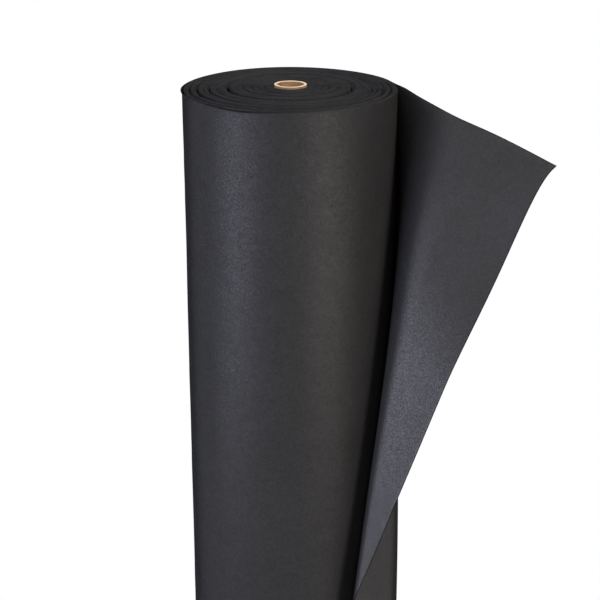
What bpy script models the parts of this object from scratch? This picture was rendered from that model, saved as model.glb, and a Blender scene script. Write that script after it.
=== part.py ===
"""Roll of weed control fabric.

One long strip of non-woven fabric is wound clockwise, seen from above, on a cardboard tube. The roll
stands on end with its axis on Z and its foot at Z = 0. The last turn is loose, and the free end of the
strip is drawn away from the roll at its top corner, towards -Y and +X.
All lengths are in metres, and the angles round the roll are measured from +X.
"""
import math

import bmesh
import bpy
import numpy as np
from mathutils import Vector

# Driving sizes of the roll
ROLL_RADIUS = 0.150
FABRIC_WIDTH = 1.000
SHEET_THICKNESS = 0.0010
TURN_GAP = 0.0006
SEAT_GAP = 0.0003

# Driving sizes of the cardboard tube and of the tape that starts the first turn
CORE_BORE = 0.038
CORE_WALL = 0.0035
CORE_PROUD = 0.005
CORE_CHAMFER = 0.0006
TAPE_THICKNESS = 0.0003
TAPE_WIDTH = 0.025
TAPE_END_MARGIN = 0.030

# The wound turns stand for bundles of layers. The first and last are narrow and the middle ones wide
INNER_LOOPS = 12
OUTER_LOOPS = 11
LOOP_POINTS = 24
END_PITCH_SHARE = 0.42
LOOSE_TURN_POINTS = 72

# The line where the free end leaves the roll, and the strip beyond it. Its top corner is drawn out to a
# tip, and its top edge rises a little between the roll and the corner
LEAVING_ANGLE = math.radians(33.5)
REACH_AT_TOP = 0.329
REACH_AT_FOOT = 0.250
TIP_REACH = 0.009
TIP_HEIGHT_SHARE = 0.022
FOOT_CLEARANCE = 0.0015
CORNER_SAG = 0.030
TOP_EDGE_RISE = 0.002
ON_ROLL_STEPS = 9
BEND_STEPS = 13
BEYOND_STEPS = 6
HEIGHT_STEPS = 20
LAST_ROW_SHARE = 0.97
LATEST_BEND_SHARES = (0.72, 0.90)

# How the free end runs, at seven heights from the foot to the top edge: the loose arc's extra radius as
# a share of the roll's, how far the middle of the arc lags behind a round one, where the sheet peels off
# and how long its bend is, all three as shares of the reach at the top, and the direction in which it
# then runs, in degrees from +X. Beyond most of its bend the sheet keeps some of the roll's curl, in
# radians per metre
HEIGHT_SHARES = (0.0, 0.12, 0.28, 0.45, 0.66, 0.85, 1.0)
SLACK_SHARES = (0.087, 0.087, 0.021, 0.002, 0.063, 0.126, 0.014)
LAG_SHARES = (0.122, 0.122, 0.122, 0.097, 0.05, 0.0, 0.0)
PEEL_SHARES = (1.0, 0.908, 0.784, 0.656, 0.498, 0.316, 0.11)
BEND_SHARES = (0.051, 0.051, 0.07, 0.11, 0.203, 0.428, 0.758)
HEADING_DEGREES = (-42.6, -42.6, -36.8, -40.1, -35.5, -19.7, -22.0)
KEPT_CURL = 1.41
CURL_START_SHARE = 0.7

# Resolution and count values
ALONG_STEPS = ON_ROLL_STEPS + BEND_STEPS + BEYOND_STEPS
CORE_STEPS = 48
TAPE_POINTS = 9
FINE_STEPS = 141
SAG_POWERS = (1.5, 3)
RISE_POWER = 6
DROP_PASSES = 8
STRETCH_LIMIT = 0.8
WELD_DISTANCE = 0.00005

# Sizes worked out from the driving ones
CORE_RADIUS = CORE_BORE / 2 + CORE_WALL
PACK_START = CORE_RADIUS + TAPE_THICKNESS + 2 * SEAT_GAP
LEAVING_RADIUS = ROLL_RADIUS - SHEET_THICKNESS / 2
SPIRAL_END = ROLL_RADIUS - SHEET_THICKNESS
PACK_LOOPS = INNER_LOOPS + OUTER_LOOPS
ALL_LOOPS = PACK_LOOPS + 1
HINGE = Vector((ROLL_RADIUS * math.cos(LEAVING_ANGLE), ROLL_RADIUS * math.sin(LEAVING_ANGLE), 0))


def clear_scene():
    """Removes every object, so that the script can run again in the same file."""
    for item in list(bpy.data.objects):
        bpy.data.objects.remove(item, do_unlink=True)


def collection(name):
    """Returns a collection with this name, linked to the scene."""
    made = bpy.data.collections.new(name)
    bpy.context.scene.collection.children.link(made)
    return made


def material(name, colour, roughness, sheen=0.0):
    """Makes a Principled material with the piece's own colour, roughness and sheen."""
    made = bpy.data.materials.new(name)
    made.use_nodes = True
    shader = made.node_tree.nodes["Principled BSDF"]
    shader.inputs["Base Color"].default_value = (*colour, 1)
    shader.inputs["Roughness"].default_value = roughness
    shader.inputs["Metallic"].default_value = 0.0
    shader.inputs["Sheen Weight"].default_value = sheen
    made.diffuse_color = (*colour, 1)
    return made


def place(name, data, home, finish, location=(0, 0, 0)):
    """Puts data in the scene as the named piece."""
    item = bpy.data.objects.new(name, data)
    item.location = location
    data.materials.append(finish)
    home.objects.link(item)
    return item


def shell(item, thickness):
    """Gives an open surface its thickness, half of it on each side."""
    solid = item.modifiers.new("thickness", "SOLIDIFY")
    solid.thickness = thickness
    solid.offset = 0
    solid.use_even_offset = True


def poly_curve(name, points, half_height, closed):
    """Makes a flat 2D curve through the points and extrudes it up and down."""
    data = bpy.data.curves.new(name, "CURVE")
    data.dimensions = "2D"
    data.fill_mode = "BOTH" if closed else "NONE"
    data.extrude = half_height
    spline = data.splines.new("POLY")
    spline.points.add(len(points) - 1)
    for spot, (x, y) in zip(spline.points, points):
        spot.co = (x, y, 0, 1)
    spline.use_cyclic_u = closed
    return data


def on_circle(radius, angle):
    """Returns the plan position at this radius and angle."""
    return radius * math.cos(angle), radius * math.sin(angle)


def spiral_radius(loops):
    """Radius of the strip's inner face after this many loops, which are widest in the middle."""
    share = loops / ALL_LOOPS
    swollen = share * share * (3 - 2 * share)
    grown = END_PITCH_SHARE * share + (1 - END_PITCH_SHARE) * swollen
    return PACK_START + (SPIRAL_END - PACK_START) * grown


def winding_angle(loops):
    """Angle round the roll after this many loops of the wound pack, which ends at the leaving line."""
    return LEAVING_ANGLE + 2 * math.pi * (PACK_LOOPS - loops)


def band_faces(first, last):
    """Inner and outer face of the band that winds from loop first to loop last, as two rows of points."""
    stops = [first + k / LOOP_POINTS for k in range((last - first) * LOOP_POINTS + 1)]
    stops[-1] -= SEAT_GAP / (2 * math.pi * spiral_radius(last))
    inner = [on_circle(spiral_radius(stop), winding_angle(stop)) for stop in stops]
    outer = [on_circle(spiral_radius(stop + 1) - TURN_GAP, winding_angle(stop)) for stop in stops]
    return inner, outer


def distance_to_segment(point, start, end):
    """Distance in plan from a point to the straight run between two others."""
    run = Vector(end) - Vector(start)
    along = (Vector(point) - Vector(start)).dot(run) / run.length_squared
    nearest = Vector(start) + run * min(max(along, 0), 1)
    return (Vector(point) - nearest).length


def least_gap(inner, outer):
    """Least distance from the outer face's points to the inner face one loop further on."""
    gaps = []
    for k in range(len(outer) - LOOP_POINTS):
        for j in (k + LOOP_POINTS - 1, k + LOOP_POINTS):
            if j + 1 < len(inner):
                gaps.append(distance_to_segment(outer[k], inner[j], inner[j + 1]))
    return min(gaps)


def build_core(home):
    """The cardboard tube: a turned wall with small chamfers, a little proud of the top end."""
    top = FABRIC_WIDTH + CORE_PROUD
    inside = CORE_BORE / 2
    profile = [
        (CORE_RADIUS - CORE_CHAMFER, top), (CORE_RADIUS, top - CORE_CHAMFER),
        (CORE_RADIUS, CORE_CHAMFER), (CORE_RADIUS - CORE_CHAMFER, 0),
        (inside + CORE_CHAMFER, 0), (inside, CORE_CHAMFER),
        (inside, top - CORE_CHAMFER), (inside + CORE_CHAMFER, top),
    ]
    data = bpy.data.meshes.new("core_tube")
    edges = [(k, (k + 1) % len(profile)) for k in range(len(profile))]
    data.from_pydata([(x, 0, z) for x, z in profile], edges, [])
    finish = material("cardboard", (0.46, 0.31, 0.19), 0.85)
    item = place("core_tube", data, home, finish)
    turned = item.modifiers.new("turned", "SCREW")
    turned.steps = CORE_STEPS
    turned.render_steps = CORE_STEPS
    turned.use_merge_vertices = True
    turned.merge_threshold = WELD_DISTANCE
    turned.use_smooth_shade = True


def build_tape(home):
    """The strip of tape along the core, which holds the start of the first turn."""
    radius = CORE_RADIUS + SEAT_GAP + TAPE_THICKNESS / 2
    spread = TAPE_WIDTH / radius
    angles = [spread * (k / (TAPE_POINTS - 1) - 0.5) for k in range(TAPE_POINTS)]
    points = [on_circle(radius, LEAVING_ANGLE + angle) for angle in angles]
    half = FABRIC_WIDTH / 2 - TAPE_END_MARGIN
    finish = material("adhesive_tape", (0.75, 0.70, 0.58), 0.4)
    item = place("core_tape", poly_curve("core_tape", points, half, False), home, finish,
                 (0, 0, FABRIC_WIDTH / 2))
    shell(item, TAPE_THICKNESS)


def build_band(name, first, last, home, finish):
    """One stretch of the wound strip, as an unbroken spiral band."""
    inner, outer = band_faces(first, last)
    data = poly_curve(name, inner + outer[::-1], FABRIC_WIDTH / 2, True)
    item = place(name, data, home, finish, (0, 0, FABRIC_WIDTH / 2))
    weld = item.modifiers.new("weld", "WELD")
    weld.merge_threshold = WELD_DISTANCE
    print(name, "least gap to itself in mm:", round(least_gap(inner, outer) * 1000, 3))


def loose_turn_radius(share):
    """Middle of the loose turn, which is the spiral's last loop and ends at the leaving line."""
    return spiral_radius(PACK_LOOPS + share) + SHEET_THICKNESS / 2


def build_loose_turn(home, finish):
    """The last whole turn: one layer of the sheet that ends where the free end leaves."""
    gap_share = SEAT_GAP / (2 * math.pi * ROLL_RADIUS)
    shares = np.linspace(0, 1 - gap_share, LOOSE_TURN_POINTS + 1)
    points = [on_circle(loose_turn_radius(share), LEAVING_ANGLE - 2 * math.pi * share) for share in shares]
    data = poly_curve("loose_turn", points, FABRIC_WIDTH / 2, False)
    item = place("loose_turn", data, home, finish, (0, 0, FABRIC_WIDTH / 2))
    shell(item, SHEET_THICKNESS)


def eased(values, at):
    """Smooth curve through one value at each of the HEIGHT_SHARES."""
    knots = np.array(HEIGHT_SHARES)
    values = np.array(values, dtype=float)
    slopes = np.gradient(values, knots)
    low = np.clip(np.searchsorted(knots, at) - 1, 0, len(knots) - 2)
    width = knots[low + 1] - knots[low]
    t = (at - knots[low]) / width
    rise = t * t * (3 - 2 * t)
    leave = t * (1 - t) ** 2 * width * slopes[low]
    arrive = t * t * (t - 1) * width * slopes[low + 1]
    return values[low] * (1 - rise) + values[low + 1] * rise + leave + arrive


def running_sum(rates, spacing):
    """Sums rates along each row, starting from zero."""
    middles = (rates[:, 1:] + rates[:, :-1]) / 2 * spacing
    return np.concatenate([np.zeros((len(rates), 1)), np.cumsum(middles, axis=1)], axis=1)


def free_end_surface(heights, along):
    """Middle surface of the free end, as an array of points [height][distance along the strip].

    Each row follows the loose arc, bends outwards and runs on nearly straight. A row drops as it goes, by as
    much as keeps the sheet from stretching between it and the row below.
    """
    share = heights / FABRIC_WIDTH
    radius = (ROLL_RADIUS * (1 + eased(SLACK_SHARES, share)))[:, None]
    peel = (REACH_AT_TOP * eased(PEEL_SHARES, share))[:, None]
    bend = (REACH_AT_TOP * eased(BEND_SHARES, share))[:, None]
    heading = np.radians(eased(HEADING_DEGREES, share))[:, None]
    lag = (REACH_AT_TOP * eased(LAG_SHARES, share))[:, None]
    travel = along[None, :]
    tangent = LEAVING_ANGLE - math.pi / 2
    past = np.clip((travel - peel) / bend, 0, 1)
    turned = past * past * (3 - 2 * past)
    at_peel = tangent - peel / radius
    behind = lag * np.sin(math.pi * np.clip(travel / peel, 0, 1)) ** 2
    on_arc = tangent - (travel - behind) / radius
    curled = KEPT_CURL * np.maximum(travel - peel - bend * CURL_START_SHARE, 0)
    angle = np.where(travel < peel, on_arc, at_peel + (heading - at_peel) * turned - curled)
    spacing = along[1] - along[0]
    pace = np.ones_like(angle)
    drop = np.zeros_like(angle)
    for _ in range(DROP_PASSES):
        x = LEAVING_RADIUS * math.cos(LEAVING_ANGLE) + running_sum(np.cos(angle) * pace, spacing)
        y = LEAVING_RADIUS * math.sin(LEAVING_ANGLE) + running_sum(np.sin(angle) * pace, spacing)
        lean_x = np.cos(angle) * np.gradient(x, heights, axis=0)
        lean_y = np.sin(angle) * np.gradient(y, heights, axis=0)
        fall = (lean_x + lean_y) * pace / (1 - np.gradient(drop, heights, axis=0))
        fall = np.clip(fall, -STRETCH_LIMIT, STRETCH_LIMIT)
        drop = running_sum(fall, spacing)
        pace = np.sqrt(1 - fall * fall)
    return np.stack([x, y, heights[:, None] - drop], axis=-1)


def column_distance(column, height_share):
    """Distance along the strip of one column of the grid, whose columns keep to the bend."""
    tip = TIP_REACH * math.exp((height_share - 1) / TIP_HEIGHT_SHARE)
    reach = REACH_AT_FOOT + (REACH_AT_TOP - REACH_AT_FOOT) * height_share + tip
    peel = REACH_AT_TOP * float(eased(PEEL_SHARES, height_share))
    bend = REACH_AT_TOP * float(eased(BEND_SHARES, height_share))
    stops = (SEAT_GAP / 2, min(peel, reach * LATEST_BEND_SHARES[0]),
             min(peel + bend, reach * LATEST_BEND_SHARES[1]), reach)
    return np.interp(column, (0, ON_ROLL_STEPS, ON_ROLL_STEPS + BEND_STEPS, ALONG_STEPS), stops)


def build_free_end(home, finish):
    """The free end of the strip: a sheet on the leaving line, drawn out at its top corner."""
    even = np.linspace(FOOT_CLEARANCE, FABRIC_WIDTH * LAST_ROW_SHARE, HEIGHT_STEPS)
    heights = np.append(even, FABRIC_WIDTH)
    fine = np.linspace(SEAT_GAP / 2, REACH_AT_TOP + TIP_REACH, FINE_STEPS)
    surface = free_end_surface(heights, fine)
    data = bpy.data.meshes.new("free_end")
    grid = bmesh.new()
    bmesh.ops.create_grid(grid, x_segments=ALONG_STEPS, y_segments=HEIGHT_STEPS, size=1)
    for vert in grid.verts:
        column = round((vert.co.x + 1) / 2 * ALONG_STEPS)
        row = round((vert.co.y + 1) / 2 * HEIGHT_STEPS)
        height_share = heights[row] / FABRIC_WIDTH
        distance = column_distance(column, height_share)
        spot = [np.interp(distance, fine, surface[row, :, axis]) for axis in range(3)]
        sag_share = (distance / REACH_AT_TOP) ** SAG_POWERS[0] * height_share ** SAG_POWERS[1]
        across_share = math.sin(math.pi * min(distance / REACH_AT_TOP, 1))
        spot[2] += TOP_EDGE_RISE * across_share * height_share ** RISE_POWER - CORNER_SAG * sag_share
        vert.co = Vector(spot) - HINGE
    grid.to_mesh(data)
    grid.free()
    item = place("free_end", data, home, finish, HINGE)
    shell(item, SHEET_THICKNESS)
    for face in data.polygons:
        face.use_smooth = True


def stand_on_origin(home):
    """Moves the roll so that the origin is under the middle of the space it takes up."""
    scene_state = bpy.context.evaluated_depsgraph_get()
    spots = []
    for item in home.objects:
        shown = item.evaluated_get(scene_state)
        spots.extend(item.matrix_world @ vert.co for vert in shown.to_mesh().vertices)
        shown.to_mesh_clear()
    middle = [(min(s[axis] for s in spots) + max(s[axis] for s in spots)) / 2 for axis in range(2)]
    roll_axis = bpy.data.objects.new("roll_axis", None)
    home.objects.link(roll_axis)
    roll_axis.location = (-middle[0], -middle[1], 0)
    for item in list(home.objects):
        if item is not roll_axis:
            item.parent = roll_axis
    bpy.context.view_layer.update()
    leaving = [HINGE[axis] - middle[axis] for axis in range(2)]
    print("roll axis at x, y in mm:", [round(-value * 1000, 2) for value in middle])
    print("leaving line at x, y in mm:", [round(value * 1000, 2) for value in leaving])


def main():
    """Builds the roll piece by piece, from the core outwards."""
    clear_scene()
    home = collection("weed_control_fabric_roll")
    wound = material("wound_fabric", (0.033, 0.033, 0.035), 0.8, 0.2)
    outside = material("fabric_face", (0.045, 0.044, 0.047), 0.7, 0.3)
    build_core(home)
    build_tape(home)
    build_band("inner_turns", 0, INNER_LOOPS, home, wound)
    build_band("outer_turns", INNER_LOOPS, PACK_LOOPS, home, wound)
    build_loose_turn(home, outside)
    build_free_end(home, outside)
    bpy.context.view_layer.update()
    stand_on_origin(home)


main()
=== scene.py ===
"""Looks of a roll of weed control fabric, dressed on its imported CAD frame.

One long strip of heat-bonded non-woven fabric is wound on a cardboard tube and stands on end.
Its last turn is loose, and its free end hangs away from the roll at the top corner.
Lengths are in metres and angles round the roll run from +X, unless a name says otherwise.
"""
import logging
import math
from dataclasses import dataclass
from enum import Enum, IntEnum

import bpy
import numpy as np
from mathutils import Matrix, Vector


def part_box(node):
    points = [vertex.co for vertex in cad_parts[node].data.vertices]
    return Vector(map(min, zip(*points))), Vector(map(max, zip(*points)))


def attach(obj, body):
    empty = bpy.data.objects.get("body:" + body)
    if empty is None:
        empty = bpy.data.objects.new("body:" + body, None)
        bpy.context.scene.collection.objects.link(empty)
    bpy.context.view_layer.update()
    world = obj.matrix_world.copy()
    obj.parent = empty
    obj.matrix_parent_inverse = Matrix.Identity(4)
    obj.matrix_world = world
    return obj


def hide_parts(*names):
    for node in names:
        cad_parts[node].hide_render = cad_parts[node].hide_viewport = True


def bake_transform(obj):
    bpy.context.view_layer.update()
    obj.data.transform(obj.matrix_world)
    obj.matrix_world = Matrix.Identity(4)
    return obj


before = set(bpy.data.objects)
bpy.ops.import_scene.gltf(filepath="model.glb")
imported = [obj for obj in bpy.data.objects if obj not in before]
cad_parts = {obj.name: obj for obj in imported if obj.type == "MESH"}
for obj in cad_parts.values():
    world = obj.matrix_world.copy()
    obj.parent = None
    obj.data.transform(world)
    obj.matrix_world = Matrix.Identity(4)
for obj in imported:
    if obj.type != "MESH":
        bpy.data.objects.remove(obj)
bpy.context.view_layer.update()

MM = 0.001
IMAGE_PIXELS = 600
SENSOR_MM = 36.0
# Blender's wave texture makes about this many waves per unit at a scale of 1
WAVES_AT_SCALE_ONE = 3.2
SHARP_EDGE = math.radians(40)
# The knife presses a sheet's edge to this share of its thickness
CUT_THICKNESS = 0.6
# The unevenness repeats after this many bumps, and is read from this many bumps on
NOISE_PERIOD = 97
NOISE_START = 200
logger = logging.getLogger("roll")

Grid = np.ndarray
Socket = bpy.types.NodeSocket
Tree = bpy.types.NodeTree


class Body(Enum):
    """The bodies that the pieces ride on."""

    ROLL = "roll"
    FREE_END = "free_end"


class Side(IntEnum):
    """Which of a sheet's two finishes a face takes."""

    SURFACE = 0
    CUT_EDGE = 1


def linear(hex_colour: str) -> tuple[float, float, float, float]:
    """Turns an sRGB hex colour into the linear values that a shader takes.

    Args:
        hex_colour: The colour, written #rrggbb.

    Returns:
        Red, green, blue and an alpha of 1.
    """
    parts = [int(hex_colour[start:start + 2], 16) / 255 for start in (1, 3, 5)]
    values = [part / 12.92 if part <= 0.04045 else ((part + 0.055) / 1.055) ** 2.4
              for part in parts]
    return (*values, 1.0)


def add_node(tree: Tree, kind: str, settings: dict | None = None,
             links: dict | None = None) -> bpy.types.Node:
    """Adds a shader node, gives it its settings and joins its inputs.

    Args:
        tree: The node tree that takes the node.
        kind: The node's type name in Blender.
        settings: Properties by name, and input values by input name or number.
        links: Output sockets by the input name or number that they feed.

    Returns:
        The node.
    """
    node = tree.nodes.new(kind)
    for key, value in (settings or {}).items():
        if isinstance(key, str) and hasattr(node, key):
            setattr(node, key, value)
        else:
            node.inputs[key].default_value = value
    for key, source in (links or {}).items():
        tree.links.new(source, node.inputs[key])
    return node


def empty_material(name: str) -> tuple[bpy.types.Material, Tree]:
    """Makes a material whose node tree is empty.

    Args:
        name: The finish's own name.

    Returns:
        The material and its node tree.
    """
    material = bpy.data.materials.new(name)
    material.use_nodes = True
    material.node_tree.nodes.clear()
    return material, material.node_tree


def noise(tree: Tree, where: Socket, size_mm: float, detail: float = 3.0,
          warp: float = 0.0) -> Socket:
    """Adds a noise pattern whose features are about one real size across.

    Args:
        tree: The material's node tree.
        where: The coordinates, in metres.
        size_mm: Width of one feature in millimetres.
        detail: How many finer octaves lie on it.
        warp: How far the pattern is swirled.

    Returns:
        The pattern's value, from 0 to 1.
    """
    settings = {"Scale": 1 / (size_mm * MM), "Detail": detail, "Roughness": 0.6,
                "Distortion": warp}
    return add_node(tree, "ShaderNodeTexNoise", settings, {"Vector": where}).outputs["Fac"]


def remap(tree: Tree, value: Socket, low: float, high: float, to_low: float, to_high: float,
          curve: str = "LINEAR") -> Socket:
    """Stretches one range of a value to another and clamps it.

    Args:
        tree: The material's node tree.
        value: The value to stretch.
        low: Start of the range that is read.
        high: End of the range that is read.
        to_low: What low becomes.
        to_high: What high becomes.
        curve: How it runs from one end of the range to the other.

    Returns:
        The stretched value.
    """
    settings = {"interpolation_type": curve, "From Min": low, "From Max": high,
                "To Min": to_low, "To Max": to_high}
    return add_node(tree, "ShaderNodeMapRange", settings, {"Value": value}).outputs["Result"]


def maths(tree: Tree, operation: str, *values: Socket | float) -> Socket:
    """Adds a sum on shader values.

    Args:
        tree: The node tree that takes the node.
        operation: The operation's name in Blender.
        values: What it works on, in order, each a number or a socket.

    Returns:
        The result.
    """
    settings, links = {"operation": operation}, {}
    for number, value in enumerate(values):
        (settings if isinstance(value, (int, float)) else links)[number] = value
    return add_node(tree, "ShaderNodeMath", settings, links).outputs[0]


def mix_colours(tree: Tree, share: Socket, first: str | Socket, second: str | Socket) -> Socket:
    """Mixes two colours.

    Args:
        tree: The material's node tree.
        share: How much of the second colour shows.
        first: A hex colour, or the socket of a colour.
        second: The same for the other colour.

    Returns:
        The mixed colour.
    """
    settings, links = {"data_type": "RGBA"}, {0: share}
    for number, colour in ((6, first), (7, second)):
        if isinstance(colour, str):
            settings[number] = linear(colour)
        else:
            links[number] = colour
    return add_node(tree, "ShaderNodeMix", settings, links).outputs[2]


def add_surface(tree: Tree, settings: dict, links: dict) -> None:
    """Ends a material with its surface shader.

    Args:
        tree: The material's node tree.
        settings: The shader's constants, by input name.
        links: The sockets that feed the shader, by input name.
    """
    shader = add_node(tree, "ShaderNodeBsdfPrincipled", settings, links)
    add_node(tree, "ShaderNodeOutputMaterial", links={"Surface": shader.outputs[0]})


@dataclass(frozen=True)
class BondedPolypropylene:
    """Spun polypropylene filaments, laid at random and pressed between hot rollers.

    The web is uneven, so the eye sees clouds of denser and thinner fibre. Pressing melts the
    filaments' tops together, which gives a faint satin gloss that is broken up by the swirls of
    the fibre.
    """

    name: str
    thin_hex: str
    dense_hex: str
    roughness_low: float
    roughness_high: float
    gloss: float
    relief: float
    cloud_mm: float = 38.0
    flock_mm: float = 7.0
    swirl_mm: float = 4.2
    # Real filaments are 0.04 mm thick, so they are drawn as coarse as they need to show
    fibre_mm: float = 1.4
    relief_mm: float = 0.4
    sparkle: float = 0.45
    cloud_weight: float = 0.9
    fibre_weight: float = 0.8
    web_range: tuple[float, float] = (1.35, 2.35)
    fine_range: tuple[float, float] = (0.65, 1.15)
    slant_range: tuple[float, float] = (0.10, 0.76)
    refraction: float = 1.49

    def material(self) -> bpy.types.Material:
        """Builds the fabric's material."""
        material, tree = empty_material(self.name)
        where = add_node(tree, "ShaderNodeTexCoord").outputs["Object"]
        cloud = noise(tree, where, self.cloud_mm, 2.0, 0.4)
        flock = noise(tree, where, self.flock_mm, 3.0, 0.8)
        swirl = noise(tree, where, self.swirl_mm, 3.0, 1.6)
        fibre = noise(tree, where, self.fibre_mm, 2.0, 2.5)
        broad = maths(tree, "MULTIPLY_ADD", cloud, self.cloud_weight, flock)
        fine = maths(tree, "MULTIPLY_ADD", fibre, self.fibre_weight, swirl)
        density = remap(tree, maths(tree, "ADD", broad, fine), *self.web_range, 0.0, 1.0)
        colour = mix_colours(tree, density, self.thin_hex, self.dense_hex)
        rough = remap(tree, fine, *self.fine_range, self.roughness_high, self.roughness_low)
        relief = {"Strength": self.relief, "Distance": self.relief_mm * MM}
        bump = add_node(tree, "ShaderNodeBump", relief, {"Height": fine}).outputs[0]
        # Seen at a slant, the fibres hide each other's glossy tops
        slant = add_node(tree, "ShaderNodeLayerWeight", {"Blend": 0.5}).outputs["Facing"]
        seen = remap(tree, slant, *self.slant_range, self.gloss, 0.0, "SMOOTHERSTEP")
        # The pressed tops of the swirls shine and the loose fibre between them does not
        pressed = remap(tree, fine, *self.fine_range, 1 - self.sparkle, 1 + self.sparkle)
        add_surface(tree, {"IOR": self.refraction},
                    {"Base Color": colour, "Roughness": rough, "Normal": bump,
                     "Specular IOR Level": maths(tree, "MULTIPLY", seen, pressed)})
        return material


@dataclass(frozen=True)
class KraftBoard:
    """Paper plies wound on the slant and glued into a tube.

    The plies give the cut end its rings and the walls their slanting seams, and the recycled
    fibre gives it flecks. Paper is matte. Sawing fluffs the cut ends up, so they are paler.
    """

    name: str
    paper_hex: str
    ply_hex: str
    fleck_hex: str
    cut_hex: str
    length: float
    cut_mm: float = 1.0
    cut_fade_mm: float = 0.4
    ply_mm: float = 0.55
    seam_mm: float = 62.0
    seam_share: float = 0.06
    fleck_mm: float = 1.6
    flecks_per_cloud: float = 9.0
    most_wear: float = 0.5
    most_fleck: float = 0.55
    most_fluff: float = 0.8
    roughness: float = 0.82
    roughness_spread: float = 0.08
    relief_mm: float = 0.15

    def material(self) -> bpy.types.Material:
        """Builds the board's material, whose coordinates start on the tube's axis."""
        material, tree = empty_material(self.name)
        where = add_node(tree, "ShaderNodeTexCoord").outputs["Object"]
        rings = {"wave_type": "RINGS", "rings_direction": "Z", "Distortion": 1.5,
                 "Detail Scale": 2.0, "Scale": 1 / (self.ply_mm * MM) / WAVES_AT_SCALE_ONE}
        ply = add_node(tree, "ShaderNodeTexWave", rings, {"Vector": where}).outputs["Fac"]
        bands = {"wave_type": "BANDS", "bands_direction": "DIAGONAL", "wave_profile": "SAW",
                 "Distortion": 0.2, "Scale": 1 / (self.seam_mm * MM) / WAVES_AT_SCALE_ONE}
        seam = add_node(tree, "ShaderNodeTexWave", bands, {"Vector": where}).outputs["Fac"]
        fleck = noise(tree, where, self.fleck_mm, 4.0, 1.0)
        cloud = noise(tree, where, self.fleck_mm * self.flecks_per_cloud, 2.0)
        base = mix_colours(tree, remap(tree, ply, 0.1, 0.6, 0.0, 1.0),
                           self.ply_hex, self.paper_hex)
        worn = mix_colours(tree, remap(tree, cloud, 0.45, 0.8, 0.0, self.most_wear),
                           base, self.ply_hex)
        flecked = mix_colours(tree, remap(tree, fleck, 0.6, 0.75, 0.0, self.most_fleck),
                              worn, self.fleck_hex)
        walls = mix_colours(tree, remap(tree, seam, 0.0, self.seam_share, 1.0, 0.0),
                            flecked, self.fleck_hex)
        fluff = mix_colours(tree, remap(tree, fleck, 0.45, 0.8, 0.0, self.most_fluff),
                            self.cut_hex, self.paper_hex)
        up = add_node(tree, "ShaderNodeSeparateXYZ", links={0: where}).outputs["Z"]
        from_middle = maths(tree, "ABSOLUTE", maths(tree, "SUBTRACT", up, self.length / 2))
        edge = self.length / 2 - self.cut_mm * MM
        cut = remap(tree, from_middle, edge, edge + self.cut_fade_mm * MM, 0.0, 1.0)
        rough = remap(tree, fleck, 0.3, 0.7, self.roughness - self.roughness_spread,
                      self.roughness + self.roughness_spread)
        bump = add_node(tree, "ShaderNodeBump",
                        {"Strength": 0.3, "Distance": self.relief_mm * MM}, {"Height": fleck})
        add_surface(tree, {"Specular IOR Level": 0.3},
                    {"Base Color": mix_colours(tree, cut, walls, fluff), "Roughness": rough,
                     "Normal": bump.outputs[0]})
        return material


@dataclass(frozen=True)
class CrepePaperTape:
    """Crinkled paper with a rubber glue.

    Fine creases run across the tape and catch a little light.
    """

    name: str
    paper_hex: str
    crease_hex: str
    crease_mm: float = 0.8
    crease_stretch: float = 0.25
    relief_mm: float = 0.1

    def material(self) -> bpy.types.Material:
        """Builds the tape's material."""
        material, tree = empty_material(self.name)
        where = add_node(tree, "ShaderNodeTexCoord").outputs["Object"]
        squash = {"Scale": (self.crease_stretch, self.crease_stretch, 1.0)}
        drawn = add_node(tree, "ShaderNodeMapping", squash, {"Vector": where}).outputs[0]
        crease = noise(tree, drawn, self.crease_mm, 3.0, 0.5)
        colour = mix_colours(tree, remap(tree, crease, 0.35, 0.6, 0.0, 1.0),
                             self.crease_hex, self.paper_hex)
        bump = add_node(tree, "ShaderNodeBump",
                        {"Strength": 0.4, "Distance": self.relief_mm * MM}, {"Height": crease})
        add_surface(tree, {"Specular IOR Level": 0.4},
                    {"Base Color": colour, "Roughness": remap(tree, crease, 0.3, 0.7, 0.45, 0.65),
                     "Normal": bump.outputs[0]})
        return material


def sheet_mesh(name: str, middle: Grid, half: Grid) -> bpy.types.Mesh:
    """Makes a thin sheet from its middle surface: two faces and the cut edges between them.

    Args:
        name: The mesh's name.
        middle: Points of the middle surface, indexed [height][along the strip][axis].
        half: Half the thickness at each point.

    Returns:
        The mesh, whose cut edges take the second finish.
    """
    rows, columns = middle.shape[:2]
    normal = np.cross(np.gradient(middle, axis=1), np.gradient(middle, axis=0))
    normal /= np.linalg.norm(normal, axis=-1, keepdims=True)
    offset = normal * half[..., None]
    points = np.concatenate([(middle + offset).reshape(-1, 3), (middle - offset).reshape(-1, 3)])
    near = np.arange(rows * columns).reshape(rows, columns)
    far = near + rows * columns
    rings = [
        (near[:-1, :-1], near[:-1, 1:], near[1:, 1:], near[1:, :-1]),
        (far[:-1, :-1], far[1:, :-1], far[1:, 1:], far[:-1, 1:]),
        (near[-1, :-1], near[-1, 1:], far[-1, 1:], far[-1, :-1]),
        (near[0, 1:], near[0, :-1], far[0, :-1], far[0, 1:]),
        (near[:-1, -1], far[:-1, -1], far[1:, -1], near[1:, -1]),
        (near[:-1, 0], near[1:, 0], far[1:, 0], far[:-1, 0]),
    ]
    quads = [np.stack([corner.ravel() for corner in ring], axis=1) for ring in rings]
    faces = np.concatenate(quads)
    mesh = bpy.data.meshes.new(name)
    mesh.from_pydata(points.tolist(), [], faces.tolist())
    sides = np.full(len(faces), Side.CUT_EDGE, dtype=np.int32)
    sides[:len(quads[0]) + len(quads[1])] = Side.SURFACE
    mesh.polygons.foreach_set("material_index", sides)
    mesh.shade_smooth()
    mesh.set_sharp_from_angle(angle=SHARP_EDGE)
    mesh.update()
    return mesh


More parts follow.
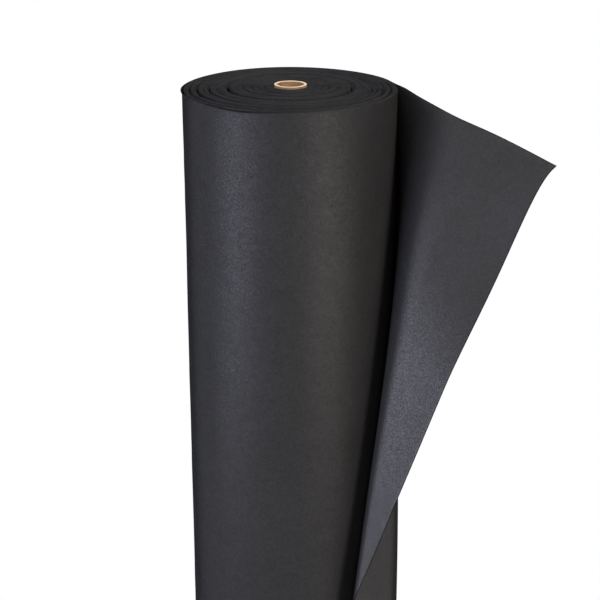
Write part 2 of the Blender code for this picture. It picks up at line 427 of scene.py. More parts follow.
def show(name: str, mesh: bpy.types.Mesh, finishes: list[bpy.types.Material],
         location: Vector | None = None) -> bpy.types.Object:
    """Puts a mesh in the scene with its finishes.

    Args:
        name: The piece's name.
        mesh: Its mesh.
        finishes: Its materials, in the order of its faces' finish numbers.
        location: Where the mesh's own zero lies, if not at the frame's origin.

    Returns:
        The piece.
    """
    for finish in finishes:
        mesh.materials.append(finish)
    piece = bpy.data.objects.new(name, mesh)
    piece.location = location or Vector((0, 0, 0))
    bpy.context.scene.collection.objects.link(piece)
    logger.info("%s: %d faces", name, len(mesh.polygons))
    return piece


def soft_noise(across: Grid, up: Grid, cell: float, seed: int) -> Grid:
    """Smooth random unevenness over a sheet.

    Args:
        across: Distance along the strip of each point.
        up: Height of each point.
        cell: Width of one bump or hollow.
        seed: Which pattern is taken.

    Returns:
        A value from -1 to 1 for each point.
    """
    lattice = np.random.default_rng(seed).uniform(-1, 1, (NOISE_PERIOD, NOISE_PERIOD))
    x, y = across / cell + NOISE_START, up / cell + NOISE_START
    column, row = np.floor(x).astype(int), np.floor(y).astype(int)
    fx, fy = smooth_step(0, 1, x - column), smooth_step(0, 1, y - row)
    corner = [[lattice[(row + j) % NOISE_PERIOD, (column + i) % NOISE_PERIOD] for i in (0, 1)]
              for j in (0, 1)]
    low = corner[0][0] * (1 - fx) + corner[0][1] * fx
    high = corner[1][0] * (1 - fx) + corner[1][1] * fx
    return low * (1 - fy) + high * fy


def smooth_step(low: float, high: float, at: Grid) -> Grid:
    """Rises smoothly from 0 at one value to 1 at another.

    Args:
        low: Where the rise starts.
        high: Where it ends.
        at: The values that it is read at.

    Returns:
        A share from 0 to 1 for each value.
    """
    share = np.clip((at - low) / (high - low), 0, 1)
    return share * share * (3 - 2 * share)


def bell(at: Grid, middle: float, width: float) -> Grid:
    """A smooth hump of height 1 on a circle.

    Args:
        at: The angles that it is read at, in degrees.
        middle: The angle of its top.
        width: How many degrees to either side it falls to about a third.

    Returns:
        A share from 0 to 1 for each angle.
    """
    away = (at - middle + 180) % 360 - 180
    return np.exp(-((away / width) ** 2))


def roll_axis() -> Vector:
    """Finds where the roll's axis meets the floor, from the cardboard tube's solid."""
    low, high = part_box("core_tube")
    return Vector(((low.x + high.x) / 2, (low.y + high.y) / 2, 0))


@dataclass(frozen=True)
class Strip:
    """Sizes of the strip of fabric and of the roll that it is wound into."""

    width: float = 0.999
    thickness: float = 0.0010
    roll_radius: float = 0.150
    pack_start: float = 0.0239
    loose_start: float = 0.14693
    leaving_angle: float = math.radians(33.5)

    @property
    def leaving_radius(self) -> float:
        """Radius of the sheet's middle where the free end leaves the roll."""
        return self.roll_radius - self.thickness / 2


@dataclass
class CoreTube:
    """The cardboard tube: a wall of glued plies with softly crushed edges."""

    finish: KraftBoard
    bore: float = 0.038
    wall: float = 0.0035
    chamfer: float = 0.0006
    chamfer_round: float = 0.3
    ply_shares: tuple[float, ...] = (0.3, 0.42, 0.54, 0.66, 0.78)
    ply_step: float = 0.0001
    out_of_round: float = 0.0006
    out_of_round_phase: float = 0.7
    sharp_edge: float = math.radians(60)
    steps: int = 144
    rings: int = 40

    def profile(self, height: float) -> list[tuple[float, float]]:
        """Lists the wall's outline, down the outside and up the bore.

        Args:
            height: The tube's length.

        Returns:
            The radius and height of each point.
        """
        inside, outside = self.bore / 2, self.bore / 2 + self.wall
        bevel, lip = self.chamfer, self.chamfer * self.chamfer_round
        levels = [bevel + (height - 2 * bevel) * k / self.rings for k in range(self.rings + 1)]
        end = [(outside - bevel, height), (outside - lip, height - lip)]
        foot = [(outside - lip, lip), (outside - bevel, 0),
                (inside + bevel, 0), (inside + lip, lip)]
        back = [(inside + lip, height - lip), (inside + bevel, height)]
        plies = [(inside + self.wall * share, height - self.ply_step * (k % 2))
                 for k, share in enumerate(self.ply_shares)]
        return (end + [(outside, z) for z in reversed(levels)] + foot
                + [(inside, z) for z in levels] + back + plies)

    def build(self) -> bpy.types.Object:
        """Turns the wall's outline round the axis.

        Returns:
            The tube, which replaces its plain solid.
        """
        low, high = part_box("core_tube")
        outline = self.profile(high.z - low.z)
        angles = np.linspace(0, 2 * np.pi, self.steps, endpoint=False)
        dents = 1 + self.out_of_round * np.sin(2 * angles + self.out_of_round_phase)
        points = [(radius * d * math.cos(a), radius * d * math.sin(a), z)
                  for a, d in zip(angles, dents) for radius, z in outline]
        count = len(outline)
        faces = []
        for turn in range(self.steps):
            here, after = turn * count, (turn + 1) % self.steps * count
            faces += [(here + k, here + (k + 1) % count, after + (k + 1) % count, after + k)
                      for k in range(count)]
        mesh = bpy.data.meshes.new("cardboard_tube")
        mesh.from_pydata(points, [], faces)
        mesh.shade_smooth()
        mesh.set_sharp_from_angle(angle=self.sharp_edge)
        piece = show("cardboard_tube", mesh, [self.finish.material()], roll_axis())
        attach(piece, Body.ROLL.value)
        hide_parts("core_tube")
        return piece


@dataclass
class StartTape:
    """The strip of tape on the tube, whose own solid is right and only takes its finish."""

    finish: CrepePaperTape

    def dress(self) -> None:
        """Gives the tape's solid its finish."""
        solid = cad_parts["core_tape"]
        solid.data.materials.clear()
        solid.data.materials.append(self.finish.material())
        logger.info("core_tape: dressed")


@dataclass(frozen=True)
class Groove:
    """A gap between two layers of the wound pack, with the layers beside it standing lower.

    Attributes:
        radius_mm: Where it lies.
        gap_mm: How far the layers stand apart.
        depth_mm: How far the layers' edges drop towards it.
        reach_mm: How far to either side they drop.
        turn_deg: Where round the roll it is strongest.
        spread_deg: How far round the roll it is felt, or 0 where it goes all round.
    """

    radius_mm: float
    gap_mm: float
    depth_mm: float
    reach_mm: float
    turn_deg: float = 0.0
    spread_deg: float = 0.0

    def felt(self, turn: Grid, widening: float = 1.0) -> Grid | float:
        """How strong the groove is round the roll.

        Args:
            turn: The angles that it is read at, in degrees.
            widening: How much further than its spread it is felt.

        Returns:
            A share from 0 to 1 for each angle, or 1.
        """
        if self.spread_deg == 0:
            return 1.0
        return bell(turn, self.turn_deg, self.spread_deg * widening)


@dataclass
class WoundPack:
    """All the tight turns of the strip, wound as one spiral of single layers."""

    strip: Strip
    surface: bpy.types.Material
    cut_edge: bpy.types.Material
    loops: int = 90
    first_break: int = 46
    second_break: int = 68
    points_per_loop: int = 96
    tilt: float = 0.0030
    crown_start: float = 0.072
    gap_loops: float = 0.55
    gap_widening: float = 1.2
    least_pitch: float = 1.12
    least_foot_shift: float = 0.0002
    shuffle: float = 0.0003
    shuffle_loops: float = 1.9
    shuffle_seed: int = 3
    foot_levels: tuple[float, ...] = (0.0, 0.0004, 0.006)
    top_depths: tuple[float, ...] = (0.009, 0.003, 0.0004, 0.0)
    level_thickness: tuple[float, ...] = (0.55, 1, 1, 1, 1, 1, 0.96, 0.55)
    top_cut_zone: float = 0.004
    foot_cut_zone: float = 0.0035
    # Height in millimetres, waves per loop and phase
    pitch_ripples: tuple = ((0.06, 0.231, 0.0), (0.06, 1.083, 1.3))
    edge_ripples: tuple = ((0.22, 0.137, 0.4), (0.16, 0.383, 2.0), (0.12, 1.07, 0.0))
    grooves: tuple[Groove, ...] = (
        Groove(36, 2.2, 2.8, 1.8, 255, 80), Groove(46, 1.5, 2.0, 2.0, 280, 90),
        Groove(55, 2.6, 3.0, 2.0, 255, 85), Groove(68, 1.7, 2.2, 2.0, 280, 90),
        Groove(88, 3.2, 3.6, 2.6), Groove(103, 1.4, 2.0, 2.0, 185, 70),
        Groove(110, 1.3, 2.2, 2.0, 350, 60), Groove(114.5, 2.0, 2.4, 2.0),
        Groove(121, 1.4, 2.0, 1.6, 10, 100), Groove(129.5, 2.4, 2.8, 1.9),
        Groove(139, 2.0, 2.4, 1.7), Groove(144, 0.6, 1.2, 1.2, 235, 40),
    )

    @staticmethod
    def rippled(ripples: tuple, loops: Grid) -> Grid:
        """Adds up small regular unevenness along the spiral.

        Args:
            ripples: Each one's height, waves per loop and phase.
            loops: The places along the spiral, in loops.

        Returns:
            The height at each place.
        """
        return sum(height * MM * np.sin(2 * np.pi * per_loop * loops + phase)
                   for height, per_loop, phase in ripples)

    def radii(self) -> tuple[Grid, Grid]:
        """Works out how the spiral grows from the tube to the loose turn.

        Returns:
            The loops at each of the spiral's points, and the strip's radius there.
        """
        start, end = self.strip.pack_start, self.strip.loose_start
        loops = np.linspace(0, self.loops, self.loops * self.points_per_loop + 1)
        plain = start + (end - start) * loops / self.loops
        turn = np.degrees(self.angle(loops)) % 360
        spare = np.zeros_like(loops)
        for groove in self.grooves:
            away = (loops - np.interp(groove.radius_mm * MM, plain, loops)) / self.gap_loops
            shape = np.exp(-(away ** 2)) / (self.gap_loops * math.sqrt(math.pi))
            spare += groove.gap_mm * MM * shape * groove.felt(turn, self.gap_widening)
        spare += self.rippled(self.pitch_ripples, loops)
        grown = np.concatenate([[0], np.cumsum(spare[1:] * (loops[1] - loops[0]))])
        base = (end - start - grown[-1]) / self.loops
        assert base > self.strip.thickness * self.least_pitch, "the grooves leave too little room"
        return loops, start + base * loops + grown

    def angle(self, loops: Grid) -> Grid:
        """Angle round the roll, where the pack ends at the leaving line.

        Args:
            loops: The places along the spiral, in loops.

        Returns:
            The angle at each place, in radians.
        """
        return self.strip.leaving_angle + 2 * np.pi * (self.loops - loops)

    def heights(self, loops: Grid, radius: Grid) -> Grid:
        """How far the strip is shifted up: the turns stand out at one end, unevenly.

        Args:
            loops: The places along the spiral, in loops.
            radius: The strip's radius at each place.

        Returns:
            The shift at each place.
        """
        turn = np.degrees(self.angle(loops)) % 360
        shift = self.tilt * (1 - smooth_step(self.crown_start, self.strip.loose_start, radius))
        shift += self.rippled(self.edge_ripples, loops)
        shift += self.shuffle * soft_noise(loops, np.zeros_like(loops), self.shuffle_loops,
                                           self.shuffle_seed)
        for groove in self.grooves:
            away = (radius / MM - groove.radius_mm) / groove.reach_mm
            shift -= groove.depth_mm * MM * groove.felt(turn) * np.exp(-away * away)
        return shift

    def stretch(self, name: str, first: int, last: int,
                thin: int) -> tuple[bpy.types.Object, float]:
        """Builds the layers from one loop to another.

        Args:
            name: The piece's name.
            first: The loop it starts at.
            last: The loop it ends at.
            thin: How many of the spiral's points are stepped over.

        Returns:
            The piece and the strip's length in it.
        """
        loops, radius = self.radii()
        shift = self.heights(loops, radius)
        part = slice(first * self.points_per_loop, last * self.points_per_loop + 1, thin)
        loops, radius, shift = loops[part], radius[part], shift[part]
        angle = self.angle(loops)
        width = self.strip.width
        levels = np.array([*self.foot_levels, width / 2,
                           *(width - depth for depth in self.top_depths)])
        upper = (levels >= width / 2)[:, None]
        foot_shift = np.maximum(shift, self.least_foot_shift)
        axis = roll_axis()
        middle = np.stack(np.broadcast_arrays(
            axis.x + radius * np.cos(angle), axis.y + radius * np.sin(angle),
            levels[:, None] + np.where(upper, shift, foot_shift)), axis=-1)
        half = np.array(self.level_thickness) * self.strip.thickness / 2
        mesh = sheet_mesh(name, middle, half[:, None] + np.zeros((1, len(loops))))
        sides = np.zeros(len(mesh.polygons), dtype=np.int32)
        mesh.polygons.foreach_get("material_index", sides)
        tops = np.array([face.center.z for face in mesh.polygons])
        sides[(tops > width - self.top_cut_zone) | (tops < self.foot_cut_zone)] = Side.CUT_EDGE
        mesh.polygons.foreach_set("material_index", sides)
        piece = show(name, mesh, [self.surface, self.cut_edge])
        length = float(np.hypot(np.diff(middle[0, :, 0]), np.diff(middle[0, :, 1])).sum())
        return piece, length

    def build(self) -> list[bpy.types.Object]:
        """Builds the pack in three lengths, each under 20 m of the strip.

        Returns:
            The three pieces, from the tube outwards.
        """
        plan = (("wound_turns_inner", 0, self.first_break, 2, "inner_turns"),
                ("wound_turns_middle", self.first_break, self.second_break, 1, "outer_turns"),
                ("wound_turns_outer", self.second_break, self.loops, 1, "outer_turns"))
        pieces = []
        for name, first, last, thin, node in plan:
            piece, length = self.stretch(name, first, last, thin)
            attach(piece, Body.ROLL.value)
            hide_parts(node)
            logger.info("%s: %.1f m of the strip", name, length)
            pieces.append(piece)
        return pieces


@dataclass
class LooseTurn:
    """The last whole turn, which stands a little off the pack and whose top edge is uneven.

    Its lip flares out on the left, and sags and bulges at the front left. Shares of the height
    run from the foot to the top edge.
    """

    strip: Strip
    surface: bpy.types.Material
    cut_edge: bpy.types.Material
    columns: int = 300
    rows: int = 90
    foot_shares: tuple[float, ...] = (0.0, 0.0005, 0.004)
    body_shares: tuple[float, float] = (0.012, 0.985)
    top_shares: tuple[float, ...] = (0.990, 0.9935, 0.9965, 0.9985, 1.0)
    flare: float = 0.0024
    flare_height: float = 0.0055
    flare_turn_deg: float = 186.0
    flare_spread_deg: float = 26.0
    dip: float = 0.0030
    dip_start: float = 0.6
    dip_turn_deg: float = 243.0
    dip_spread_deg: float = 22.0
    bulge: float = 0.0028
    bulge_start: float = 0.93
    bulge_spread_deg: float = 45.0
    edge_wave: float = 0.0004
    edge_waves_per_turn: int = 3
    unevenness: float = 0.00035
    broad_cell: float = 0.055
    broad_stretch: float = 0.35
    broad_seed: int = 11
    fine_cell: float = 0.024
    fine_seed: int = 12

    def middle(self) -> Grid:
        """Works out the middle surface of the loose turn.

        Returns:
            Its points, indexed [height][along the strip][axis].
        """
        share = np.linspace(0, 1, self.columns + 1)[None, :]
        between = self.rows + 1 - len(self.foot_shares) - len(self.top_shares)
        level = np.concatenate([self.foot_shares, np.linspace(*self.body_shares, between),
                                self.top_shares])[:, None] * self.strip.width
        turn = np.degrees(self.strip.leaving_angle) - 360 * share
        grown = (smooth_step(0, 1, share) + share) / 2
        radius = self.strip.loose_start
        radius = radius + (self.strip.leaving_radius - self.strip.loose_start) * grown
        radius = radius + (self.bulge * bell(turn, self.dip_turn_deg, self.bulge_spread_deg)
                           * smooth_step(self.bulge_start, 1.0, level))
        lip = smooth_step(1 - self.flare_height, 1.0, level) ** 1.5
        radius = radius + self.flare * lip * bell(turn, self.flare_turn_deg, self.flare_spread_deg)
        # The turn is held at both ends and moves most between them
        free = np.sin(np.pi * share) ** 0.8
        along = share * 2 * np.pi * self.strip.roll_radius
        broad = soft_noise(along, level * self.broad_stretch, self.broad_cell, self.broad_seed)
        uneven = broad + 0.5 * soft_noise(along, level, self.fine_cell, self.fine_seed)
        radius = radius + self.unevenness * free * uneven
        top = -self.dip * bell(turn, self.dip_turn_deg, self.dip_spread_deg)
        top = top - self.edge_wave * np.sin(np.radians(self.edge_waves_per_turn * turn))
        height = level + top * smooth_step(self.dip_start, 1.0, level) * free
        angle = np.radians(turn)
        axis = roll_axis()
        return np.stack(np.broadcast_arrays(axis.x + radius * np.cos(angle),
                                            axis.y + radius * np.sin(angle), height), axis=-1)

    def build(self, rests_on: bpy.types.Object) -> bpy.types.Object:
        """Builds the loose turn.

        Args:
            rests_on: The wound turns under it; not used.

        Returns:
            The piece.
        """
        half = np.full((self.rows + 1, self.columns + 1), self.strip.thickness / 2)
        half[[0, -1]] *= CUT_THICKNESS
        mesh = sheet_mesh("loose_turn_sheet", self.middle(), half)
        piece = show("loose_turn_sheet", mesh, [self.surface, self.cut_edge])
        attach(piece, Body.ROLL.value)
        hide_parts("loose_turn")
        return piece


@dataclass
class FreeEnd:
    """The free end of the strip, from where it leaves the roll to its cut edge.

    Low down it follows the roll in a loose arc and folds back outwards, and at the top it is
    drawn out straight. The tables give its run at the height shares, from the foot to the top
    edge. They are a rounded least-squares fit to its outline in the photograph, as in part.py,
    and not values chosen by hand.
    """

    strip: Strip
    surface: bpy.types.Material
    cut_edge: bpy.types.Material
    columns: int = 170
    rows: int = 150
    reach_top: float = 0.329
    reach_foot: float = 0.25
    tip_reach: float = 0.009
    tip_height: float = 0.022
    corner_sag: float = 0.03
    sag_powers: tuple[float, float] = (1.5, 3)
    rise_power: float = 6
    top_edge_rise: float = 0.002
    # Height, then middle and width as shares of the reach
    top_edge_bumps: tuple[tuple[float, float, float], ...] = (
        (0.0019, 0.26, 0.08), (-0.0028, 0.58, 0.14))
    foot_clearance: float = 0.0015
    edge_row: float = 0.001
    body_margin: float = 0.01
    column_ends: tuple[float, ...] = (0.985, 0.997, 1.0)
    height_shares: tuple = (0.0, 0.12, 0.28, 0.45, 0.66, 0.85, 1.0)
    slack_shares: tuple = (0.087, 0.087, 0.021, 0.002, 0.063, 0.126, 0.014)
    lag_shares: tuple = (0.122, 0.122, 0.122, 0.097, 0.05, 0.0, 0.0)
    peel_shares: tuple = (1.0, 0.908, 0.784, 0.656, 0.498, 0.316, 0.11)
    bend_shares: tuple = (0.051, 0.051, 0.07, 0.11, 0.203, 0.428, 0.758)
    heading_degrees: tuple = (-42.6, -42.6, -36.8, -40.1, -35.5, -19.7, -22.0)
    kept_curl: float = 1.41
    curl_start: float = 0.7
    blend_length: float = 0.030
    settling_rounds: int = 8
    steepest_fall: float = 0.8
    coarse_rows: int = 101
    coarse_columns: int = 241

    def eased(self, values: tuple, at: Grid) -> Grid:
        """Runs a smooth curve through one value at each of the height shares.

        Args:
            values: The values.
            at: The height shares that the curve is read at.

        Returns:
            The curve's value at each of them.
        """
        knots, values = np.array(self.height_shares), np.array(values, dtype=float)
        slopes = np.gradient(values, knots)
        low = np.clip(np.searchsorted(knots, at) - 1, 0, len(knots) - 2)
        width = knots[low + 1] - knots[low]
        t = (at - knots[low]) / width
        rise = t * t * (3 - 2 * t)
        return (values[low] * (1 - rise) + values[low + 1] * rise
                + t * (1 - t) ** 2 * width * slopes[low]
                + t * t * (t - 1) * width * slopes[low + 1])

    @staticmethod
    def running_sum(rates: Grid, spacing: float) -> Grid:
        """Sums rates along each row, starting from zero.

        Args:
            rates: The rates, indexed [row][step].
            spacing: The length of a step.

        Returns:
            The sum up to each step.
        """
        middles = (rates[:, 1:] + rates[:, :-1]) / 2 * spacing
        return np.concatenate([np.zeros((len(rates), 1)), np.cumsum(middles, axis=1)], axis=1)

    def surface_points(self, heights: Grid, along: Grid) -> Grid:
        """Works out where the strip lies, with next to no stretch.

        Args:
            heights: The heights on the flat strip.
            along: The distances from the leaving line, evenly spaced.

        Returns:
            The points from the roll's axis, indexed [height][distance][axis].
        """
        share = heights / self.strip.width
        radius = (self.strip.roll_radius * (1 + self.eased(self.slack_shares, share)))[:, None]
        peel = (self.reach_top * self.eased(self.peel_shares, share))[:, None]
        bend = (self.reach_top * self.eased(self.bend_shares, share))[:, None]
        heading = np.radians(self.eased(self.heading_degrees, share))[:, None]
        lag = (self.reach_top * self.eased(self.lag_shares, share))[:, None]
        travel = along[None, :]
        leaving = self.strip.leaving_angle
        tangent = leaving - math.pi / 2
        turned = smooth_step(0, 1, (travel - peel) / bend)
        at_peel = tangent - peel / radius
        behind = lag * np.sin(math.pi * np.clip(travel / peel, 0, 1)) ** 2
        on_arc = tangent - (travel - behind) / radius
        curled = self.kept_curl * np.maximum(travel - peel - bend * self.curl_start, 0)
        beyond = at_peel + (heading - at_peel) * turned - curled
        angle = np.where(travel < peel, on_arc, beyond)
        spacing = along[1] - along[0]
        pace, drop = np.ones_like(angle), np.zeros_like(angle)
        start = self.strip.leaving_radius
        for _ in range(self.settling_rounds):
            x = start * math.cos(leaving) + self.running_sum(np.cos(angle) * pace, spacing)
            y = start * math.sin(leaving) + self.running_sum(np.sin(angle) * pace, spacing)
            lean = np.cos(angle) * np.gradient(x, heights, axis=0)
            lean += np.sin(angle) * np.gradient(y, heights, axis=0)
            fall = np.clip(lean * pace / (1 - np.gradient(drop, heights, axis=0)),
                           -self.steepest_fall, self.steepest_fall)
            drop = self.running_sum(fall, spacing)
            pace = np.sqrt(1 - fall * fall)
        return np.stack([x, y, heights[:, None] - drop], axis=-1)

    def middle(self) -> Grid:
        """Works out the sheet's middle surface on a grid that ends at the skew hand cut.

        Returns:
            Its points from the roll's axis, indexed [height][along the strip][axis].
        """
        top = self.strip.width
        foot = self.foot_clearance
        heights = np.concatenate([
            [foot, foot + self.edge_row],
            np.linspace(self.body_margin, top - self.body_margin, self.rows - 3),
            [top - self.edge_row, top]])
        even = np.linspace(foot, top, self.coarse_rows)
        fine = np.linspace(0, self.reach_top + self.tip_reach, self.coarse_columns)
        coarse = self.surface_points(even, fine)
        share = heights / top
        reach = self.reach_foot + (self.reach_top - self.reach_foot) * share
        reach = reach + self.tip_reach * np.exp((share - 1) / self.tip_height)
        last_even, *ends = self.column_ends
        spots = np.concatenate([np.linspace(0, last_even, self.columns - 1), ends])
        distance = reach[:, None] * spots[None, :]
        points = np.empty((*distance.shape, 3))
        between = np.interp(heights, even, np.arange(len(even)))
        low = np.clip(between.astype(int), 0, len(even) - 2)
        part = (between - low)[:, None]
        for row in range(len(heights)):
            lower, upper = coarse[low[row]], coarse[low[row] + 1]
            line = lower * (1 - part[row]) + upper * part[row]
            for axis in range(3):
                points[row, :, axis] = np.interp(distance[row], fine, line[:, axis])
        across = np.clip(distance / self.reach_top, 0, 1)
        wave = self.top_edge_rise * np.sin(math.pi * across)
        for height, at, width in self.top_edge_bumps:
            wave += height * np.exp(-(((across - at) / width) ** 2))
        points[..., 2] += wave * share[:, None] ** self.rise_power
        outwards, upwards = self.sag_powers
        points[..., 2] -= (self.corner_sag * (distance / self.reach_top) ** outwards
                           * share[:, None] ** upwards)
        return points

    def build(self) -> bpy.types.Object:
        """Builds the free end, from the leaving line to its cut edge.

        Returns:
            The piece.
        """
        axis = roll_axis()
        middle = self.middle() + np.array([axis.x, axis.y, 0.0])
        half = np.full(middle.shape[:2], self.strip.thickness / 2)
        half[[0, -1]] *= CUT_THICKNESS
        half[:, -1] *= CUT_THICKNESS
        mesh = sheet_mesh("free_end_sheet", middle, half)
        rows, columns = middle.shape[0] - 1, middle.shape[1] - 1
        sides = np.zeros(len(mesh.polygons), dtype=np.int32)
        mesh.polygons.foreach_get("material_index", sides)
        # A millimetre of both faces along the top edge and the cut end takes the edge finish,
        # whose near-black colour is painted shade along the sheet's edges
        cloth = sides[:2 * rows * columns].reshape(2, rows, columns)
        cloth[:, -1], cloth[:, :, -1] = Side.CUT_EDGE, Side.CUT_EDGE
        mesh.polygons.foreach_set("material_index", sides)
        piece = show("free_end_sheet", mesh, [self.surface, self.cut_edge])
        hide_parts("free_end")
        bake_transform(piece)
        return piece


@dataclass(frozen=True)
class Lamp:
    """One soft lamp of the studio.

    Attributes:
        position: Where it hangs, from the roll's axis.
        target_height: The height on the axis that it points at.
        watts: Its power.
        tint_hex: The colour of its light.
    """

    name: str
    position: tuple[float, float, float]
    target_height: float
    width: float
    height: float
    watts: float
    tint_hex: str

    def hang(self, axis: Vector) -> None:
        """Hangs the lamp and points it at the roll.

        Args:
            axis: Where the roll's axis meets the floor.
        """
        data = bpy.data.lights.new(self.name, "AREA")
        data.shape, data.size, data.size_y = "RECTANGLE", self.width, self.height
        data.energy, data.color = self.watts, linear(self.tint_hex)[:3]
        lamp = bpy.data.objects.new(self.name, data)
        lamp.location = axis + Vector(self.position)
        aim = axis + Vector((0, 0, self.target_height)) - lamp.location
        lamp.rotation_euler = aim.to_track_quat("-Z", "Y").to_euler()
        lamp.visible_camera = False
        bpy.context.scene.collection.objects.link(lamp)


@dataclass
class Studio:
    """The pale floor, the white backdrop, the lamps and the camera."""

    floor_hex: str = "#c8c8c8"
    floor_dark_hex: str = "#bebebe"
    floor_grain_mm: float = 2.0
    floor_reach: float = 9.0
    floor_gap: float = 0.0005
    plain_start: float = 0.17
    plain_end: float = 0.34
    plain_near: float = 0.45
    fill_hex: str = "#3c3c3e"
    white_hex: str = "#ffffff"
    camera_from_axis: tuple[float, float, float] = (0.0137, -1.9978, 1.4196)
    pitch_degrees: float = 20.112
    tilt_degrees: float = 0.108
    focal_pixels: float = 1465.95
    # The powers started as a fit to the roll's brightness in the photograph, then were changed
    lamps: tuple[Lamp, ...] = (
        Lamp("left_side_softbox", (-2.00, -1.13, 0.28), 0.70, 0.6, 0.5, 29.5, "#e4e8ff"),
        Lamp("left_front_softbox", (-1.63, -1.63, 0.28), 0.70, 0.6, 0.5, 15.5, "#e8eaff"),
        Lamp("right_softbox", (1.48, -1.76, 0.28), 0.70, 0.6, 0.5, 28.5, "#fff4ea"),
        Lamp("high_left_softbox", (-1.76, -1.48, 2.20), 0.80, 0.6, 0.6, 8.0, "#f2f4ff"),
        Lamp("high_front_softbox", (0.20, -2.29, 2.20), 0.80, 0.6, 0.8, 17.0, "#ffffff"),
        Lamp("high_right_softbox", (2.08, -0.97, 2.20), 0.80, 0.6, 0.6, 24.0, "#fff2e8"),
        Lamp("top_softbox", (-0.20, 0.45, 2.60), 1.00, 1.2, 1.2, 21.0, "#ffffff"),
    )

    @staticmethod
    def shown_white(tree: Tree) -> Socket:
        """Tells the rays that see the backdrop: straight, mirrored or through something clear.

        Args:
            tree: The node tree that asks.

        Returns:
            1 for such a ray and 0 for any other.
        """
        path = add_node(tree, "ShaderNodeLightPath").outputs
        seen = maths(tree, "MAXIMUM", path["Is Camera Ray"], path["Is Glossy Ray"])
        return maths(tree, "MAXIMUM", seen, path["Is Transmission Ray"])

    def set_world(self) -> None:
        """Lights the studio with a dim even fill, behind a backdrop that shows white."""
        world = bpy.data.worlds.new("studio")
        bpy.context.scene.world = world
        world.use_nodes = True
        tree = world.node_tree
        tree.nodes.clear()
        fill = add_node(tree, "ShaderNodeBackground", {"Color": linear(self.fill_hex)})
        white = add_node(tree, "ShaderNodeBackground", {"Color": linear(self.white_hex)})
        mixed = add_node(tree, "ShaderNodeMixShader", links={
            0: self.shown_white(tree), 1: fill.outputs[0], 2: white.outputs[0]})
        add_node(tree, "ShaderNodeOutputWorld", links={"Surface": mixed.outputs[0]})

    def lay_floor(self, axis: Vector) -> None:
        """Lays a floor that keeps the shadow near the roll and runs out into the backdrop.

        Args:
            axis: Where the roll's axis meets the floor.
        """
        reach = self.floor_reach
        mesh = bpy.data.meshes.new("studio_floor")
        corners = [(-reach, -reach, 0), (reach, -reach, 0), (reach, reach, 0), (-reach, reach, 0)]
        mesh.from_pydata(corners, [], [(0, 1, 2, 3)])
        material, tree = empty_material("matte_floor_paper")
        where = add_node(tree, "ShaderNodeTexCoord").outputs["Object"]
        away = add_node(tree, "ShaderNodeVectorMath", {"operation": "LENGTH"}, {0: where})
        plain = remap(tree, away.outputs["Value"], self.plain_start, self.plain_end,
                      self.plain_near, 1.0)
        grain = noise(tree, where, self.floor_grain_mm, 2.0)
        tone = mix_colours(tree, grain, self.floor_dark_hex, self.floor_hex)
        paper = add_node(tree, "ShaderNodeBsdfDiffuse", links={"Color": tone})
        white = add_node(tree, "ShaderNodeEmission", {"Color": linear(self.white_hex)})
        share = maths(tree, "MULTIPLY", plain, self.shown_white(tree))
        mixed = add_node(tree, "ShaderNodeMixShader", links={
            0: share, 1: paper.outputs[0], 2: white.outputs[0]})
        add_node(tree, "ShaderNodeOutputMaterial", links={"Surface": mixed.outputs[0]})
        floor = show("studio_floor", mesh, [material], axis + Vector((0, 0, -self.floor_gap)))

    def place_camera(self, axis: Vector) -> None:
        """Stands the camera where the photograph was taken from.

        Args:
            axis: Where the roll's axis meets the floor.
        """
        data = bpy.data.cameras.new("studio_camera")
        data.sensor_width = SENSOR_MM
        data.lens = self.focal_pixels * SENSOR_MM / IMAGE_PIXELS
        camera = bpy.data.objects.new("studio_camera", data)
        look = Matrix.Rotation(math.radians(90 - self.pitch_degrees), 4, "X")
        turn = Matrix.Rotation(math.radians(self.tilt_degrees), 4, "Z")
        place = Matrix.Translation(axis + Vector(self.camera_from_axis))
        camera.matrix_world = place @ look @ turn
        bpy.context.scene.collection.objects.link(camera)
        bpy.context.scene.camera = camera

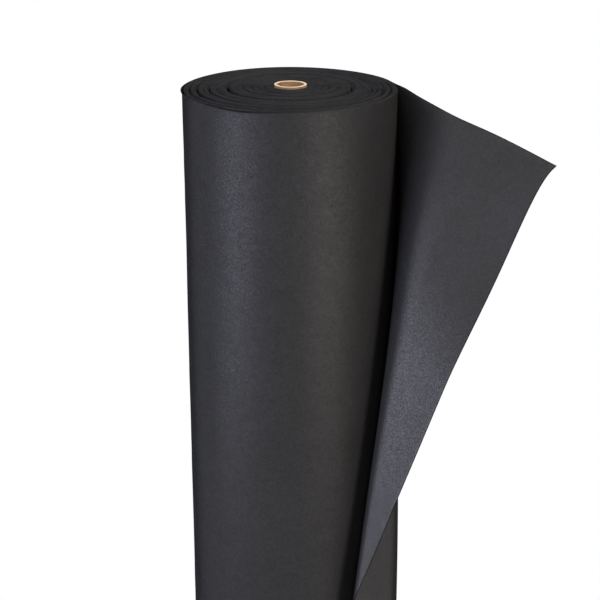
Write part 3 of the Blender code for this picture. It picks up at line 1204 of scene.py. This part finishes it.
    def build(self) -> None:
        """Sets up the whole studio."""
        axis = roll_axis()
        self.set_world()
        self.lay_floor(axis)
        for lamp in self.lamps:
            lamp.hang(axis)
        self.place_camera(axis)
        bpy.context.scene.view_settings.view_transform = "Standard"
        logger.info("studio: %d lamps", len(self.lamps))


# The patterned roller leaves the outer face evenly bonded, with a faint satin gloss
FACE = BondedPolypropylene("heat_bonded_polypropylene_face", "#242425", "#2c2c2d",
                           0.30, 0.43, gloss=0.110, relief=0.6, sparkle=0.5)
# The layers rub on each other in the pack, which dulls them
WOUND = BondedPolypropylene("heat_bonded_polypropylene_wound", "#272727", "#2e2e30",
                            0.36, 0.50, gloss=0.08, relief=0.6)
# The knife leaves open fibre ends, which are matte and scatter more light
CUT_EDGE = BondedPolypropylene("cut_edge_of_the_fibre_web", "#313133", "#464648",
                               0.75, 0.95, gloss=0.05, relief=0.9, swirl_mm=1.4, fibre_mm=0.6)
# The smooth roller flattens the fibres on the inner side, which shines most
SMOOTH_SIDE = BondedPolypropylene("heat_bonded_polypropylene_smooth_side", "#272727", "#2d2d2f",
                                  0.28, 0.40, gloss=0.185, relief=0.5, sparkle=0.35)
# The free end's cut edges are painted near black: painted shade along the sheet's edges
PAINTED_EDGE_SHADE = BondedPolypropylene("painted_shade_on_free_end_edges", "#0f0f10", "#1e1e20",
                              0.60, 0.80, gloss=0.04, relief=0.6, swirl_mm=1.4, fibre_mm=0.6)


def main() -> None:
    """Builds the studio and the roll, from the tube outwards, and notes the sizes."""
    logging.basicConfig(level=logging.INFO, format="%(name)s: %(message)s")
    strip = Strip()
    face, wound, edge = FACE.material(), WOUND.material(), CUT_EDGE.material()
    Studio().build()
    tube_low, tube_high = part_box("core_tube")
    CoreTube(KraftBoard("spiral_wound_kraft_board", "#b8926c", "#98724c", "#775336", "#f4e0c4",
                        tube_high.z - tube_low.z)).build()
    StartTape(CrepePaperTape("crepe_paper_tape", "#cbbd98", "#a99a74")).dress()
    turns = WoundPack(strip, wound, edge).build()
    LooseTurn(strip, face, edge).build(turns[-1])
    FreeEnd(strip, SMOOTH_SIDE.material(), PAINTED_EDGE_SHADE.material()).build()


if __name__ == "__main__":
    main()
